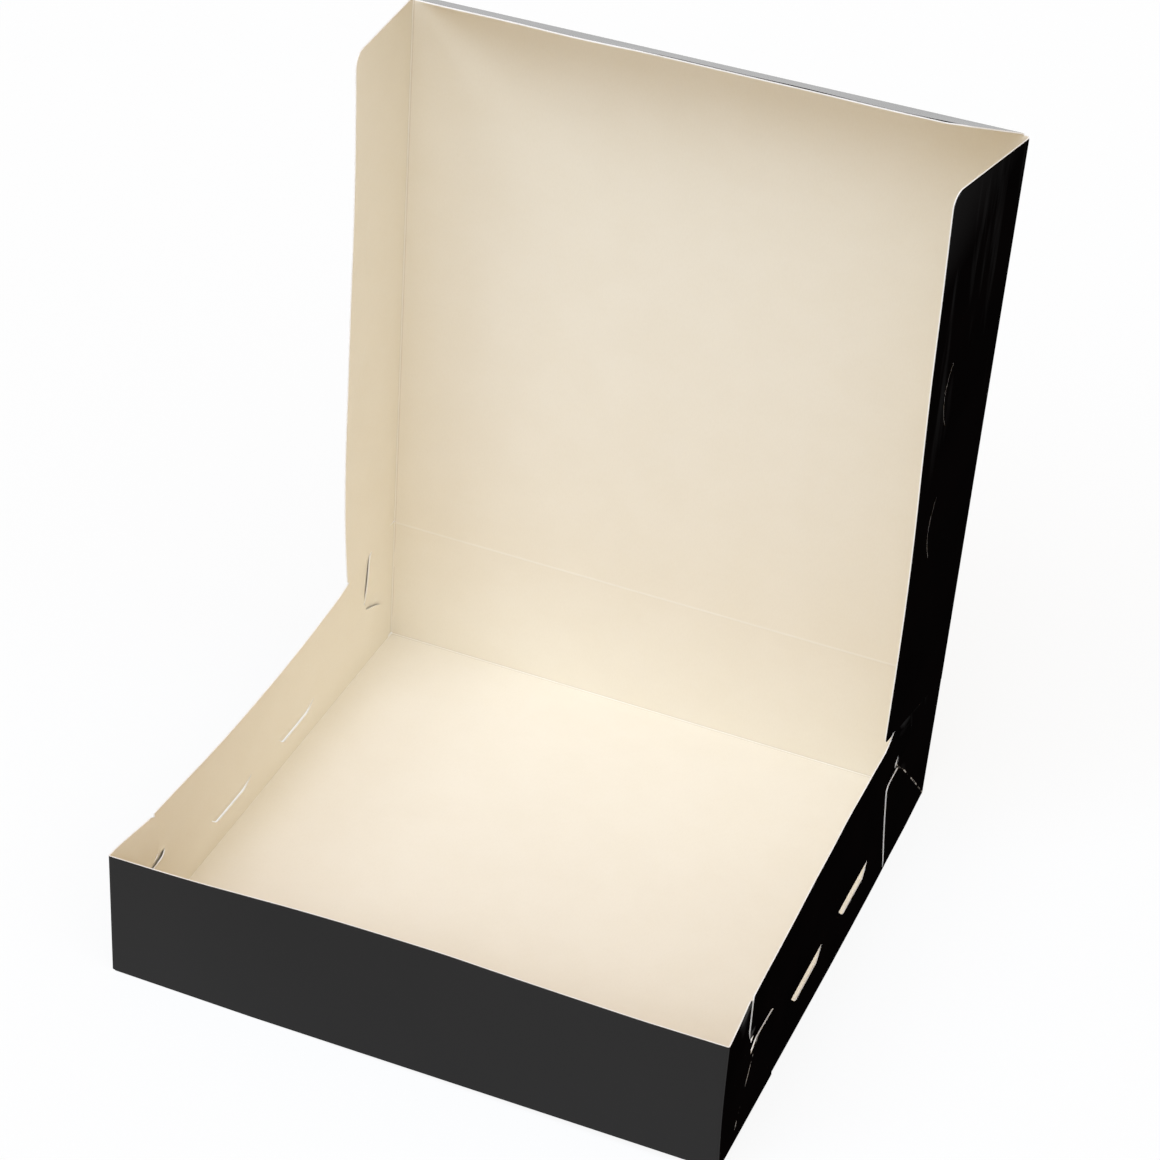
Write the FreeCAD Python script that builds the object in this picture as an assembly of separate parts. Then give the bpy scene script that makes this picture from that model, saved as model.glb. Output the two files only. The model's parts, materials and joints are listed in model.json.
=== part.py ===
import FreeCAD, Part
import math
import os

# Cake box: one board blank, folded into a glued four-corner tray with a hinged, tucking lid.
# The origin is the middle of the footprint, on the table. +X is the box's right side, +Y its
# hinged rear side and +Z is up. The lid stands open, in line with the rear wall. Sizes are in
# millimetres.

# ---- overall sizes
width = 250.0                 # outside, across the front
depth = 250.0                 # outside, front to rear
wall_height = 60.0            # table to rim
board = 0.5                   # thickness of the board
fold_inside = 0.3             # inner radius of a folded crease

# ---- corner ears: ends of the front and rear walls, wrapped round onto the side walls
ear_reach = 57.0              # corner to the end of the lower tab, which is glued outside
ear_foot = 1.5                # table to the lower tab's bottom edge
ear_step_drop = 22.0          # rim down to the lower tab's top edge
ear_shoulder = 38.0           # corner to where that edge slips in under the side wall
ear_tab_round = 3.0
ear_tip_reach = 31.0          # corner to the end of the upper tab, which is tucked inside
ear_tip_drop = 14.0           # rim down to where the upper tab starts to widen
ear_tip_lap = 1.5             # how far the upper tab runs in behind the side wall
ear_tip_round = 4.0

# ---- side wall ends: below the window cut at each corner stands a rounded tongue
tongue_start = 4.5            # corner to the tongue's end
tongue_foot = 8.0             # table to where its rounded end begins
tongue_under_step = 6.0       # its top lies this far under the ear's step

# ---- locks: half-moon tongues of the lid's side flaps, which snap into slots in the side walls
lock_spacing = 60.0           # between the two locks of a side, centred front to rear
lock_length = 30.0
lock_bulge = 4.5
lock_bite = 0.5               # how far a tongue's tip reaches below its slot's upper edge
slot_play = 2.0               # added to each end of the slot
slot_height = 5.0
slot_floor_gap = 14.5         # table to the slot's lower edge
slot_flank = 8.0              # a slot's sharp end in to where its lower edge would be level
slot_round = 8.0
cut_width = 0.3               # a cut made by the die

# ---- lid and its side flaps
hinge_lift = 0.55             # rim up to the hinge line, so that the closed lid clears the rim
hinge_relief = 0.1            # hinge line to the edge of the lid's board
lid_side_gap = 0.4            # side flaps to the tips of the ears
lid_front_gap = 0.5           # closed tuck flap to the front wall
flap_floor_gap = 5.0          # closed side flaps to the floor's upper face
flap_hinge_gap = 1.5          # hinge line to a side flap's edge
flap_front_gap = 1.0          # tuck crease to a side flap's edge, at its root
flap_front_round = 6.0
flap_swing_gap = 0.9          # that edge's rounded free corner to the front wall, as it swings by
flap_rear_round = 2.0

# ---- tuck flap
tuck_relief = 0.5             # tuck crease to the board on each side of it
tuck_floor_gap = 4.0          # closed tuck flap to the floor's upper face
tuck_side_gap = 1.0           # its root to the side flaps
tuck_taper = 9.0              # narrowing of each side towards the free edge
tuck_round = 8.0
tuck_rest_fold = 66.0         # degrees out of the lid's plane while the lid stands open


def swing_reach(corner_depth, corner_round):
    """How far along the lid a side flap's front corner may lie. The corner's rounding has to swing
    past the top of the front wall about the hinge line."""
    swing = depth - 1.5 * board - flap_swing_gap - corner_round
    return math.sqrt(swing ** 2 - (corner_depth - corner_round) ** 2) + corner_round


# ---- places that follow from the sizes above
half_width = width / 2
half_depth = depth / 2
fold_outside = fold_inside + board
ear_step = wall_height - ear_step_drop
ear_tip_foot = wall_height - ear_tip_drop
ear_tip_face = half_width - 3 * board                 # inside face of the tucked tip
slot_top = slot_floor_gap + slot_height
hinge_y = half_depth - board / 2
hinge_z = wall_height + hinge_lift
lid_half = ear_tip_face - lid_side_gap                # outside face of a side flap
lid_length = depth - 2 * board - lid_front_gap        # hinge line to tuck crease
tuck_z = hinge_z + lid_length
flap_depth = wall_height - board - flap_floor_gap
flap_corner_z = hinge_z + swing_reach(flap_depth - board / 2, flap_front_round)
tuck_depth = wall_height - board - tuck_floor_gap
margin = 5.0                                          # by which cutters overrun the board


def vec(x, y, z):
    return FreeCAD.Vector(x, y, z)


def rounded_face(*corners):
    """Face in the XY plane with the corners (x, y, radius). A radius of 0 keeps the corner sharp."""
    edges = []
    stops = []
    for i, (x, y, radius) in enumerate(corners):
        here = vec(x, y, 0)
        before = vec(*corners[i - 1][:2], 0) - here
        after = vec(*corners[(i + 1) % len(corners)][:2], 0) - here
        half_angle = before.getAngle(after) / 2
        setback = radius / math.tan(half_angle)
        start = here + before.normalize() * setback
        end = here + after.normalize() * setback
        stops.append((start, end))
        if radius > 0:
            inward = (before + after).normalize()
            middle = here + inward * (radius / math.sin(half_angle) - radius)
            edges.append(Part.Arc(start, middle, end).toShape())
    for i, (start, end) in enumerate(stops):
        last = stops[i - 1][1]
        if last.distanceToPoint(start) > 1e-6:
            edges.append(Part.makeLine(last, start))
    return Part.Face(Part.Wire(Part.sortEdges(edges)[0]))


def side_prism(face, start, near, far):
    """Solid between two X places, from a face drawn in the side view: its x runs to the rear from
    the Y place start, and its y is the height."""
    face.rotate(vec(0, 0, 0), vec(1, 0, 0), 90)
    face.rotate(vec(0, 0, 0), vec(0, 0, 1), 90)
    face.translate(vec(near, start, 0))
    return face.extrude(vec(far - near, 0, 0))


def channel(half_outside, leg, height):
    """Folded strip: a web whose outside lies in y = 0, and two legs that run to +Y."""
    inner = half_outside - board
    face = rounded_face(
        (-half_outside, leg, 0), (-half_outside, 0, fold_outside),
        (half_outside, 0, fold_outside), (half_outside, leg, 0),
        (inner, leg, 0), (inner, board, fold_inside),
        (-inner, board, fold_inside), (-inner, leg, 0))
    return face.extrude(vec(0, 0, height))


def mirror_x(shape):
    return shape.mirror(vec(0, 0, 0), vec(1, 0, 0))


def mirror_y(shape):
    return shape.mirror(vec(0, 0, 0), vec(0, 1, 0))


def both_sides(*shapes):
    return list(shapes) + [mirror_x(shape) for shape in shapes]


# ---- tray: floor, walls and ears

def rounded_block(block_width, block_depth, bottom, radius):
    """Block that stands from a height to above the rim, with the four bottom edges rounded."""
    block = Part.makeBox(block_width, block_depth, wall_height + margin - bottom,
                         vec(-block_width / 2, -block_depth / 2, bottom))
    edges = [edge for edge in block.Edges if edge.BoundBox.ZMax < bottom + 0.01]
    return block.makeFillet(radius, edges)


def walls_and_floor():
    """Floor and four walls as one folded shell. The ears' board lies outside its side walls."""
    outer = rounded_block(width - 2 * board, depth, 0, fold_outside)
    inner = rounded_block(width - 4 * board, depth - 2 * board, board, fold_inside)
    above = Part.makeBox(width, depth, 2 * margin, vec(-half_width, -half_depth, wall_height))
    return outer.cut([inner, above])


def corner_window():
    """What the die takes out of the right side wall's front end. The rounded tongue stays below
    it, and the wall's upper part begins behind it."""
    tongue_top = ear_step - tongue_under_step
    tongue_round = tongue_top - tongue_foot
    wall_end = ear_tip_reach - ear_tip_lap
    over = wall_height + margin
    face = rounded_face(
        (board, fold_outside, 0), (tongue_start, fold_outside, 0),
        (tongue_start, tongue_top, tongue_round), (tongue_start + tongue_round, tongue_top, 0),
        (ear_shoulder, ear_step, 0), (wall_end, ear_tip_foot, 0),
        (wall_end, over, 0), (board, over, 0))
    return side_prism(face, -half_depth, ear_tip_face - margin, half_width)


def lock_slot(place):
    """Slot in the right side wall: a half-moon whose straight upper edge holds a lock tongue."""
    half = lock_length / 2 + slot_play
    level = half - slot_flank
    face = rounded_face(
        (-half, slot_top, 0), (-level, slot_floor_gap, slot_round),
        (level, slot_floor_gap, slot_round), (half, slot_top, 0))
    return side_prism(face, place, half_width - margin, half_width + margin)


def ear_outline():
    """Side view of a whole ear beyond the corner's fold, cut through every ply on the right."""
    over = wall_height + ear_tip_round
    face = rounded_face(
        (0, ear_foot, 0), (ear_reach, ear_foot, 0), (ear_reach, ear_step, ear_tab_round),
        (ear_shoulder, ear_step, 0), (ear_tip_reach, ear_tip_foot, 0),
        (ear_tip_reach, wall_height, ear_tip_round), (ear_tip_reach - ear_tip_round, over, 0),
        (0, over, 0))
    return side_prism(face, -half_depth, ear_tip_face - margin, half_width + margin)


def ear_section(height, reach, inward):
    """Plan of the upper ear at a height: a strip of board from the corner's fold to its reach,
    whose end stands inward of its root."""
    front = -half_depth + fold_outside
    end = -half_depth + reach
    outer = half_width
    inner = half_width - board
    return Part.makePolygon([vec(outer, front, height), vec(outer - inward, end, height),
                             vec(inner - inward, end, height), vec(inner, front, height),
                             vec(outer, front, height)])


def upper_ear():
    """Upper part of the front right ear. It leaves the corner outside the side wall's ply, passes
    through the window and ends behind the wall."""
    behind = 2 * board
    sections = [ear_section(ear_step, ear_shoulder, 0),
                ear_section(ear_tip_foot, ear_tip_reach, behind),
                ear_section(wall_height, ear_tip_reach, behind)]
    return Part.makeLoft(sections, True, True)


def front_wrap():
    """The front wall's board with its two ears. It begins above the fold to the floor."""
    wrap = channel(half_width, ear_reach, wall_height - fold_outside)
    wrap.translate(vec(0, -half_depth, fold_outside))
    above_tabs = Part.makeBox(width + 2 * margin, ear_reach, wall_height,
                              vec(-half_width - margin, -half_depth + fold_outside, ear_step))
    wrap = wrap.cut(above_tabs).fuse(both_sides(upper_ear()))
    web = Part.makeBox(width, fold_outside, wall_height, vec(-half_width, -half_depth, 0))
    return wrap.common(web.fuse(both_sides(ear_outline())))


def tray():
    windows = both_sides(corner_window(), mirror_y(corner_window()))
    slots = [lock_slot(place) for place in (-lock_spacing / 2, lock_spacing / 2)]
    shell = walls_and_floor().cut(windows + both_sides(*slots))
    wrap = front_wrap()
    return shell.fuse([wrap, mirror_y(wrap)]).removeSplitter()


# ---- lid: panel and side flaps

def lock_cut(centre_height):
    """Half-moon cut round a lock tongue in the right side flap. Its bulge faces the free edge."""
    crown = hinge_y - (hinge_z - slot_top + lock_bite)
    root = crown + lock_bulge
    ends = [vec(root, centre_height - lock_length / 2, 0), vec(root, centre_height + lock_length / 2, 0)]
    across = vec(cut_width, 0, 0)
    middle = vec(crown, centre_height, 0)
    edges = [Part.Arc(ends[0], middle, ends[1]).toShape(),
             Part.Arc(ends[0] + across, middle + across, ends[1] + across).toShape(),
             Part.makeLine(ends[0], ends[0] + across), Part.makeLine(ends[1], ends[1] + across)]
    face = Part.Face(Part.Wire(Part.sortEdges(edges)[0]))
    return side_prism(face, 0, lid_half - margin, lid_half + margin)


def flap_outline():
    """Side view of a side flap in front of the lid's panel, cut through the board on the right."""
    root = half_depth - board
    free = half_depth - flap_depth
    low = hinge_z + flap_hinge_gap
    high = tuck_z - flap_front_gap
    face = rounded_face(
        (root, low, 0), (free, low, flap_rear_round),
        (free, flap_corner_z, flap_front_round), (root, high, 0))
    return side_prism(face, 0, lid_half - margin, lid_half + margin)


def lid():
    """Panel and side flaps, standing on the hinge line."""
    bottom = hinge_z + hinge_relief
    height = tuck_z - tuck_relief - bottom
    sheet = channel(lid_half, flap_depth, height)
    sheet.rotate(vec(0, 0, 0), vec(0, 0, 1), 180)
    sheet.translate(vec(0, half_depth, bottom))
    panel = Part.makeBox(width, board, height, vec(-half_width, half_depth - board, bottom))
    sheet = sheet.common(panel.fuse(both_sides(flap_outline())))
    cuts = [lock_cut(hinge_z + hinge_y + place) for place in (-lock_spacing / 2, lock_spacing / 2)]
    return sheet.cut(both_sides(*cuts)).removeSplitter()


# ---- tuck flap

def tuck_flap():
    """Tapered flap, drawn upright on its crease line and then folded to where it stands."""
    root = lid_half - board - tuck_side_gap
    free = root - tuck_taper
    face = rounded_face(
        (-root, tuck_relief, 0), (root, tuck_relief, 0),
        (free, tuck_depth, tuck_round), (-free, tuck_depth, tuck_round))
    flap = face.extrude(vec(0, 0, board))
    flap.translate(vec(0, 0, -board / 2))
    flap.rotate(vec(0, 0, 0), vec(1, 0, 0), 90 + tuck_rest_fold)
    flap.translate(vec(0, hinge_y, tuck_z))
    return flap


def save(name, shape):
    shape.exportStep(os.path.join("parts", name + ".step"))
    box = shape.BoundBox
    print(name, "solids", len(shape.Solids), "valid", shape.isValid(),
          "volume %.1f" % shape.Volume,
          "x %.2f %.2f y %.2f %.2f z %.2f %.2f" % (box.XMin, box.XMax, box.YMin, box.YMax,
                                                   box.ZMin, box.ZMax))


os.makedirs("parts", exist_ok=True)
save("tray", tray())
save("lid", lid())
save("tuck_flap", tuck_flap())
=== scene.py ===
# %% [markdown]
# Cake box in black coated board, standing open.
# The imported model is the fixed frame: it says where the tray, the lid and the tuck flap are and
# about which lines they turn. The real box is one sheet of board, half a millimetre thick, black
# and varnished outside and bare cream pulp inside. So each piece here is a single skin that is
# bent along its creases, and a Solidify modifier gives that skin its thickness.

# %% Load the frame
import json
import math

import bmesh
import bpy
import numpy as np
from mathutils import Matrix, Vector


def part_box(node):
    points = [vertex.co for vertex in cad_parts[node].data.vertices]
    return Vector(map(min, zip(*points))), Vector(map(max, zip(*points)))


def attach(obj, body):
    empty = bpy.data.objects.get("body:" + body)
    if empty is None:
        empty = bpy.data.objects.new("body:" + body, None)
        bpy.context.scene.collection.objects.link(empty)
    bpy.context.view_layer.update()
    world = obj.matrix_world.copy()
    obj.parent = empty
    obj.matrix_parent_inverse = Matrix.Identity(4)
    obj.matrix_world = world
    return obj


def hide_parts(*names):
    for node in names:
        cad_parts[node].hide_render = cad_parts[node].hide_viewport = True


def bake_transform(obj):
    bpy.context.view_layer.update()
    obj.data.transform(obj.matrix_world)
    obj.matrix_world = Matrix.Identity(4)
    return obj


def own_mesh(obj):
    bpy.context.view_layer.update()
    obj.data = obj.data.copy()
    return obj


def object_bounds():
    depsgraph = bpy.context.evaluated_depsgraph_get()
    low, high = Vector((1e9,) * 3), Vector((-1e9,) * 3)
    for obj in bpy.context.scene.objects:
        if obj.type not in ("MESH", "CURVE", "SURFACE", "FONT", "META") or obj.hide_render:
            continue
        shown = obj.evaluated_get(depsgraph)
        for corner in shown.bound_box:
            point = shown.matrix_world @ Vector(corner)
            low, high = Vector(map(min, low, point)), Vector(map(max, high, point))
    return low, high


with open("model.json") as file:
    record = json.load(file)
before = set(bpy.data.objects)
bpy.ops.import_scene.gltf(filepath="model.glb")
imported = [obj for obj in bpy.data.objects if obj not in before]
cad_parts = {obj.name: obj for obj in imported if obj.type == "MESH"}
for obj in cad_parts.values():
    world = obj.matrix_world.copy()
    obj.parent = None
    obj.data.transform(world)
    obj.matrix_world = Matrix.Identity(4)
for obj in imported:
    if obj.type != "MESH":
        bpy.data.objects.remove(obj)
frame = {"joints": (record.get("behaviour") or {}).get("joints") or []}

cad_low, cad_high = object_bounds()
print("CAD box in mm:", [round(v * 1000, 1) for v in (*cad_low, *cad_high)])

# %% [markdown]
# Sizes are kept in millimetres, as on a cutting drawing, and turned into metres only when a mesh
# is made. The large ones are read from the frame, so the looks follow the construction.

# %% Sizes of the box
MM = 0.001


def corners_mm(node):
    """Lowest and highest corner of a node of the frame, in millimetres."""
    return [np.array(corner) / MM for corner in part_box(node)]


tray_high = corners_mm("tray")[1]
lid_low = corners_mm("lid")[0]
tuck_low, tuck_high = corners_mm("tuck_flap")
pivots = {joint["name"]: np.array(joint["pos_m"]) / MM for joint in frame["joints"]}

HALF = tray_high[0]  # middle of the box to the outside of a wall
RIM = tray_high[2]  # height of the tray's walls
BOARD = 0.5  # thickness of the board
BEND = 0.8  # outer radius of a folded crease
ARC = BEND * math.pi / 2  # board that a square fold takes up
SIDE_FACE = HALF - BOARD  # outside of a side wall, under the ears
HINGE_Y, HINGE_Z = pivots["lid_hinge"][1:]
CREASE_Z = pivots["tuck_fold"][2]  # height of the tuck flap's crease
FLAP_DEPTH = HALF - lid_low[1]  # lid's panel to the free edge of a side flap
TUCK_FOLD = math.radians(66)  # tuck flap out of the lid's plane, at rest
TUCK_SETBACK = 0.3  # tuck flap's root to where its faces would meet
TUCK_DEPTH = (tuck_high[1] - tuck_low[1]) / math.sin(TUCK_FOLD) + TUCK_SETBACK
print("half width, rim, hinge, depth of the flaps and the tuck, board in a fold:",
      np.round([HALF, RIM, HINGE_Y, HINGE_Z, FLAP_DEPTH, TUCK_DEPTH, ARC], 2).tolist())

# %% [markdown]
# A sheet is built from patches. A patch is a grid of points worked out as one array, with a flat
# position on the blank for every point and a mask of the cells that aren't cut away. Patches that
# meet share their border points, which are merged, so the board runs on without a seam. Borders
# that stay open are real cut edges: they stay sharp, and Solidify gives them the third material.

# %% Patches and sheets
GRID = 6.0  # widest gap between grid lines on a plain panel
FAR = 99.0  # stands for no crease nearby
MERGE = 0.02  # border points nearer than this are one point
ROUNDING = np.sin(np.radians(np.arange(0, 91, 15)))  # shares of a corner's radius, in six turns


def ramp(value, start, length):
    """Share that grows from 0 to 1 while the value runs on from start by the length."""
    return np.clip((value - start) / length, 0, 1)


def mirrored(half):
    """Places to both sides of the middle, from those on one side, which start at 0."""
    return np.concatenate([-half[:0:-1], half])


def rounded(place, top, end, radius):
    """Line that is straight at end until place nears the top, and there turns in a quarter circle
    of the radius."""
    over = np.clip(place - (top - radius), 0, radius)
    return end - radius + np.sqrt(radius**2 - over**2)


def steps(stops, gap):
    """All the stops, with even steps no longer than gap between them."""
    runs = [np.linspace(a, b, max(1, math.ceil((b - a) / gap)), endpoint=False)
            for a, b in zip(stops, stops[1:])]
    return np.concatenate(runs + [[stops[-1]]])


def patch(x, y, z, outward, across, along, crease=FAR, gusset=FAR, board=None):
    """Grid of points in millimetres. outward is a rough direction out of the box. across and along
    are places on the flat blank, crease and gusset are distances to the nearest fold and to a
    corner's slanting crease. board is the mask of the cells that exist."""
    x, y, z, across, along, crease, gusset = np.broadcast_arrays(
        x, y, z, across, along, crease, gusset)
    points = np.stack([x, y, z], axis=-1).astype(float)
    if board is None:
        board = np.ones((points.shape[0] - 1, points.shape[1] - 1), bool)
    normal = np.cross(points[1:, :-1] - points[:-1, :-1], points[:-1, 1:] - points[:-1, :-1])
    flip = (normal[board] @ np.array(outward, float)).sum() < 0
    return {"points": points, "blank": np.stack([across, along], axis=-1), "crease": crease,
            "gusset": gusset, "board": board, "flip": flip}


def patch_faces(one, first):
    """Corner numbers of a patch's quads, in the order that makes them face outward."""
    rows, columns = one["points"].shape[:2]
    number = first + np.arange(rows * columns).reshape(rows, columns)
    quads = np.stack([number[:-1, :-1], number[1:, :-1], number[1:, 1:], number[:-1, 1:]], axis=-1)
    quads = quads[one["board"]]
    return quads[:, ::-1] if one["flip"] else quads


def new_object(name, data):
    """Object in the scene, from its mesh, lamp or camera."""
    made = bpy.data.objects.new(name, data)
    bpy.context.scene.collection.objects.link(made)
    return made


def sheet(name, patches, shape):
    """Object made of patches of board. shape moves all its points at once, from the true fold to
    the way the box has settled."""
    points, blank, crease, gusset = (
        np.concatenate([one[kind].reshape(-1, width) for one in patches])
        for kind, width in (("points", 3), ("blank", 2), ("crease", 1), ("gusset", 1)))
    counts = np.cumsum([0] + [one["crease"].size for one in patches])
    faces = np.concatenate([patch_faces(one, first) for one, first in zip(patches, counts)])
    used, faces = np.unique(faces, return_inverse=True)
    mesh = bpy.data.meshes.new(name)
    mesh.from_pydata((shape(points)[used] * MM).tolist(), [], faces.reshape(-1, 4).tolist())
    for label, values in (("crease", crease), ("gusset", gusset)):
        distances = mesh.attributes.new(label, "FLOAT", "POINT").data
        distances.foreach_set("value", values[used].astype(np.float32).ravel())
    corner_vertex = np.zeros(len(mesh.loops), np.int32)
    mesh.loops.foreach_get("vertex_index", corner_vertex)
    flat = mesh.uv_layers.new(name="blank")
    flat.data.foreach_set("uv", (blank[used][corner_vertex] * MM).astype(np.float32).ravel())
    join_borders(mesh)
    return new_object(name, mesh)


def join_borders(mesh):
    """Merges the points that patches share, smooths the faces and keeps the cut edges sharp."""
    work = bmesh.new()
    work.from_mesh(mesh)
    bmesh.ops.remove_doubles(work, verts=work.verts, dist=MERGE * MM)
    for face in work.faces:
        face.smooth = True
    for edge in work.edges:
        edge.smooth = not edge.is_boundary
    work.to_mesh(mesh)
    work.free()


def thicken(piece, materials):
    """Gives the skin the board's thickness inward: outside, inside and raw edge materials."""
    for material in materials:
        piece.data.materials.append(material)
    solid = piece.modifiers.new("board", "SOLIDIFY")
    solid.thickness = BOARD * MM
    solid.offset = -1
    solid.material_offset = 1
    solid.material_offset_rim = 2


# %% [markdown]
# Every fold of the box is the same shape: a strip lies flat, turns through a tight arc and runs
# on straight. One function gives that profile, for any angle of turn.

# %% The folded strip
FOLD_MARGIN = 1.2  # where the finer steps beside an arc begin


def turned(run, flat, angle=math.pi / 2):
    """Profile of a folded strip: level as far as flat, then an arc of radius BEND through the
    angle, then straight on. Gives the place across and the height at a distance run from the
    middle, to either side. The angle may be an array, for a fold that isn't equally sharp all
    along."""
    size = np.abs(run)
    turn = np.clip((size - flat) / BEND, 0, angle)
    rest = np.maximum(size - flat - BEND * angle, 0)
    across = np.minimum(size, flat) + BEND * np.sin(turn) + rest * np.cos(angle)
    risen = BEND * (1 - np.cos(turn)) + rest * np.sin(angle)
    return np.sign(run) * across, risen


def fold_runs(flat):
    """Places along a strip that draw its arc well: two short steps before it and five in it."""
    in_arc = [share * ARC for share in (0, 0.2, 0.4, 0.6, 0.8, 1)]
    return flat + np.array([-FOLD_MARGIN, -0.4] + in_arc)


print("the end of 20 mm of board, folded at 10 mm:", np.round(turned(20.0, 10.0), 2).tolist())

# %% [markdown]
# A real folded box is never square. This one stands slightly racked: its front right corner is
# lifted off the table, its front left corner is a little low, and the side walls lean inward along
# their free top edges. All of that is one smooth movement of the true shape: eight corner offsets,
# blended through the tray, and a lean of each wall that changes along the wall.

# %% How the tray has settled
CORNER_SHIFT = {  # (left/right, front/rear, bottom/top): x, y, z
    (-1, -1, 0): (0.6, 0, 0), (-1, -1, 1): (0.1, 0, -3.1),
    (1, -1, 0): (-1.6, 0, 2.9), (1, -1, 1): (-1.8, 0, 3.4),
    (-1, 1, 0): (0.3, 0, 0), (-1, 1, 1): (0, 0, -0.8),
    (1, 1, 0): (-0.3, 0, 0), (1, 1, 1): (0, 0, 0),
}
# Place along a wall, and how far its rim leans inward there. The front wall's places run from
# left to right, and those of the side walls from front to rear.
LEAN_RIGHT = ((-125, 0), (-110, 0.4), (-98, 0.9), (-85, 1.3), (-71, 1.6), (-47, 2.2), (-24, 2.9),
              (0, 3.4), (17, 3.9), (40, 4.1), (63, 4.0), (80, 3.7), (95, 2.6), (110, 1.1), (125, 0))
LEAN_LEFT = ((-125, 0), (-119, 0.2), (-112, 0.9), (-100, 2.2), (-79, 3.25), (-57, 4.3),
             (-37, 4.9), (-16, 5.05), (5, 5.0), (25, 4.5), (45, 3.9), (58, 3.6), (70, 2.9),
             (82, 1.85), (95, 0.95), (106, 0.25), (125, 0))
LEAN_FRONT = ((-125, 0), (-105, 0), (-88, 0.3), (-68, 1.2), (-48, 2.1), (-28, 2.6), (-8, 2.7),
              (12, 2.6), (33, 1.8), (53, 1.1), (73, 0.5), (93, 0), (125, 0))
# Likewise, how far a side wall's rim stands up beside the lid's flap, and how far the flap presses
# the right one in.
LIFT_RIGHT = ((-125, 0), (20, 0), (40, 0), (52, 0.6), (64, 1.5), (76, 1.5), (95, 1.1),
              (112, 0.8), (125, 0.6))
LIFT_LEFT = ((-125, 0), (20, 0), (40, 0), (52, 0.5), (64, 0.9), (76, 1.3), (95, 1.6),
             (118, 1.6), (125, 0.9))
PRESS_RIGHT = ((-125, 0), (50, 0), (66, 0), (75, 0.9), (84, 2.1), (95, 1.6), (105, 1.3),
               (115, 0.75), (120, 0.4), (125, 0))
PRESS_FROM, PRESS_OVER = 46, 14  # the press begins at this height, over this much
FLOOR_CURL, FOOT_SWELL = 3.2, 1.4  # curl of the floor's front, swell of the right wall's foot
CURL_X, SWELL_X, SWELL_Y = (-65, 190), (100, 24), (5 - HALF, 60)  # from where, and over how much
TOP_EASE = 0.2  # softness with which the top limit is reached


def smooth_curve(knots, at):
    """Smooth line through the knots. Each stretch is a cubic in t, the share of the stretch, with
    the right values and slopes at both ends."""
    places, values = np.array(knots, float).T
    here = np.clip(at, places[0], places[-1])
    slopes = np.gradient(values, places)
    i = np.clip(np.searchsorted(places, here, side="right") - 1, 0, len(places) - 2)
    gap = places[i + 1] - places[i]
    t = (here - places[i]) / gap
    return ((2 * t**3 - 3 * t**2 + 1) * values[i] + (t**3 - 2 * t**2 + t) * gap * slopes[i]
            + (3 * t**2 - 2 * t**3) * values[i + 1] + (t**3 - t**2) * gap * slopes[i + 1])


def settle_tray(points):
    """Moves points of the true tray: each corner's shift counts by nearness to that corner, and a
    wall leans inward in proportion to height. The floor stays on the table, but curls up towards
    its front right corner, and the foot of the right wall swells out."""
    x, y, z = points.T
    right, rear, up = x / (2 * HALF) + 0.5, y / (2 * HALF) + 0.5, np.clip(z / RIM, 0, 1.05)
    moved = points.copy()
    for (side, end, top), shift in CORNER_SHIFT.items():
        share = ((right if side > 0 else 1 - right) * (rear if end > 0 else 1 - rear)
                 * (up if top else 1 - up))
        moved += share[:, None] * np.array(shift, float)
    at_wall = ramp(np.abs(x), SIDE_FACE - 2, 1.0)
    lean = np.where(x > 0, smooth_curve(LEAN_RIGHT, y), smooth_curve(LEAN_LEFT, y))
    moved[:, 0] -= np.sign(x) * at_wall * lean * up
    at_front = ramp(-y, HALF - 2, 1.5)
    moved[:, 1] += at_front * smooth_curve(LEAN_FRONT, x) * up
    lift = np.where(x > 0, smooth_curve(LIFT_RIGHT, y), smooth_curve(LIFT_LEFT, y))
    moved[:, 2] += at_wall * lift * up
    under_flap = ramp(z, PRESS_FROM, PRESS_OVER) ** 2 * (x > 0)
    moved[:, 0] -= at_wall * smooth_curve(PRESS_RIGHT, y) * under_flap
    foot = np.clip(1 - up, 0, 1) ** 3
    curl = FLOOR_CURL * ramp(x, *CURL_X) * ramp(-y, 0, HALF)
    moved[:, 2] += foot * (curl - CORNER_SHIFT[1, -1, 0][2] * right * (1 - rear))
    moved[:, 0] += foot * FOOT_SWELL * ramp(x, *SWELL_X) * ramp(-y, *SWELL_Y)
    return inside_box(moved)


def inside_box(points):
    """Keeps points in the box that the construction fills. The top is reached softly, so the tuck
    flap's free edge has no corner there."""
    low, high = np.array(cad_low) / MM, np.array(cad_high) / MM
    kept = points.copy()
    kept[:, 2] = high[2] - TOP_EASE * np.logaddexp(0, (high[2] - points[:, 2]) / TOP_EASE)
    return np.clip(kept, low, high)


print("the left and the right rim lean in by up to, in mm:",
      [max(lean for _, lean in knots) for knots in (LEAN_LEFT, LEAN_RIGHT)])

# %% [markdown]
# Tray base: the floor, the front and rear walls and the eight folds that join them to the rest.
# It is a trough, one profile swept from side to side, with the wall ends wrapped round the corners.

# %% Tray base
FLOOR_FLAT = SIDE_FACE - BEND  # middle to where the floor folds up at the sides
WALL_FLAT = HALF - BEND  # middle to where a wall starts round a corner


def wall_heights():
    """Heights of the rows of the front and rear walls, closer at the foot and the rim."""
    return steps([BEND, 1.2, 2.4, RIM - 1.0, RIM], GRID)


def panel_runs():
    """Places from the middle of a panel to where the finer steps of its fold begin."""
    return steps([0, WALL_FLAT - FOLD_MARGIN], GRID)[:-1]


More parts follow.
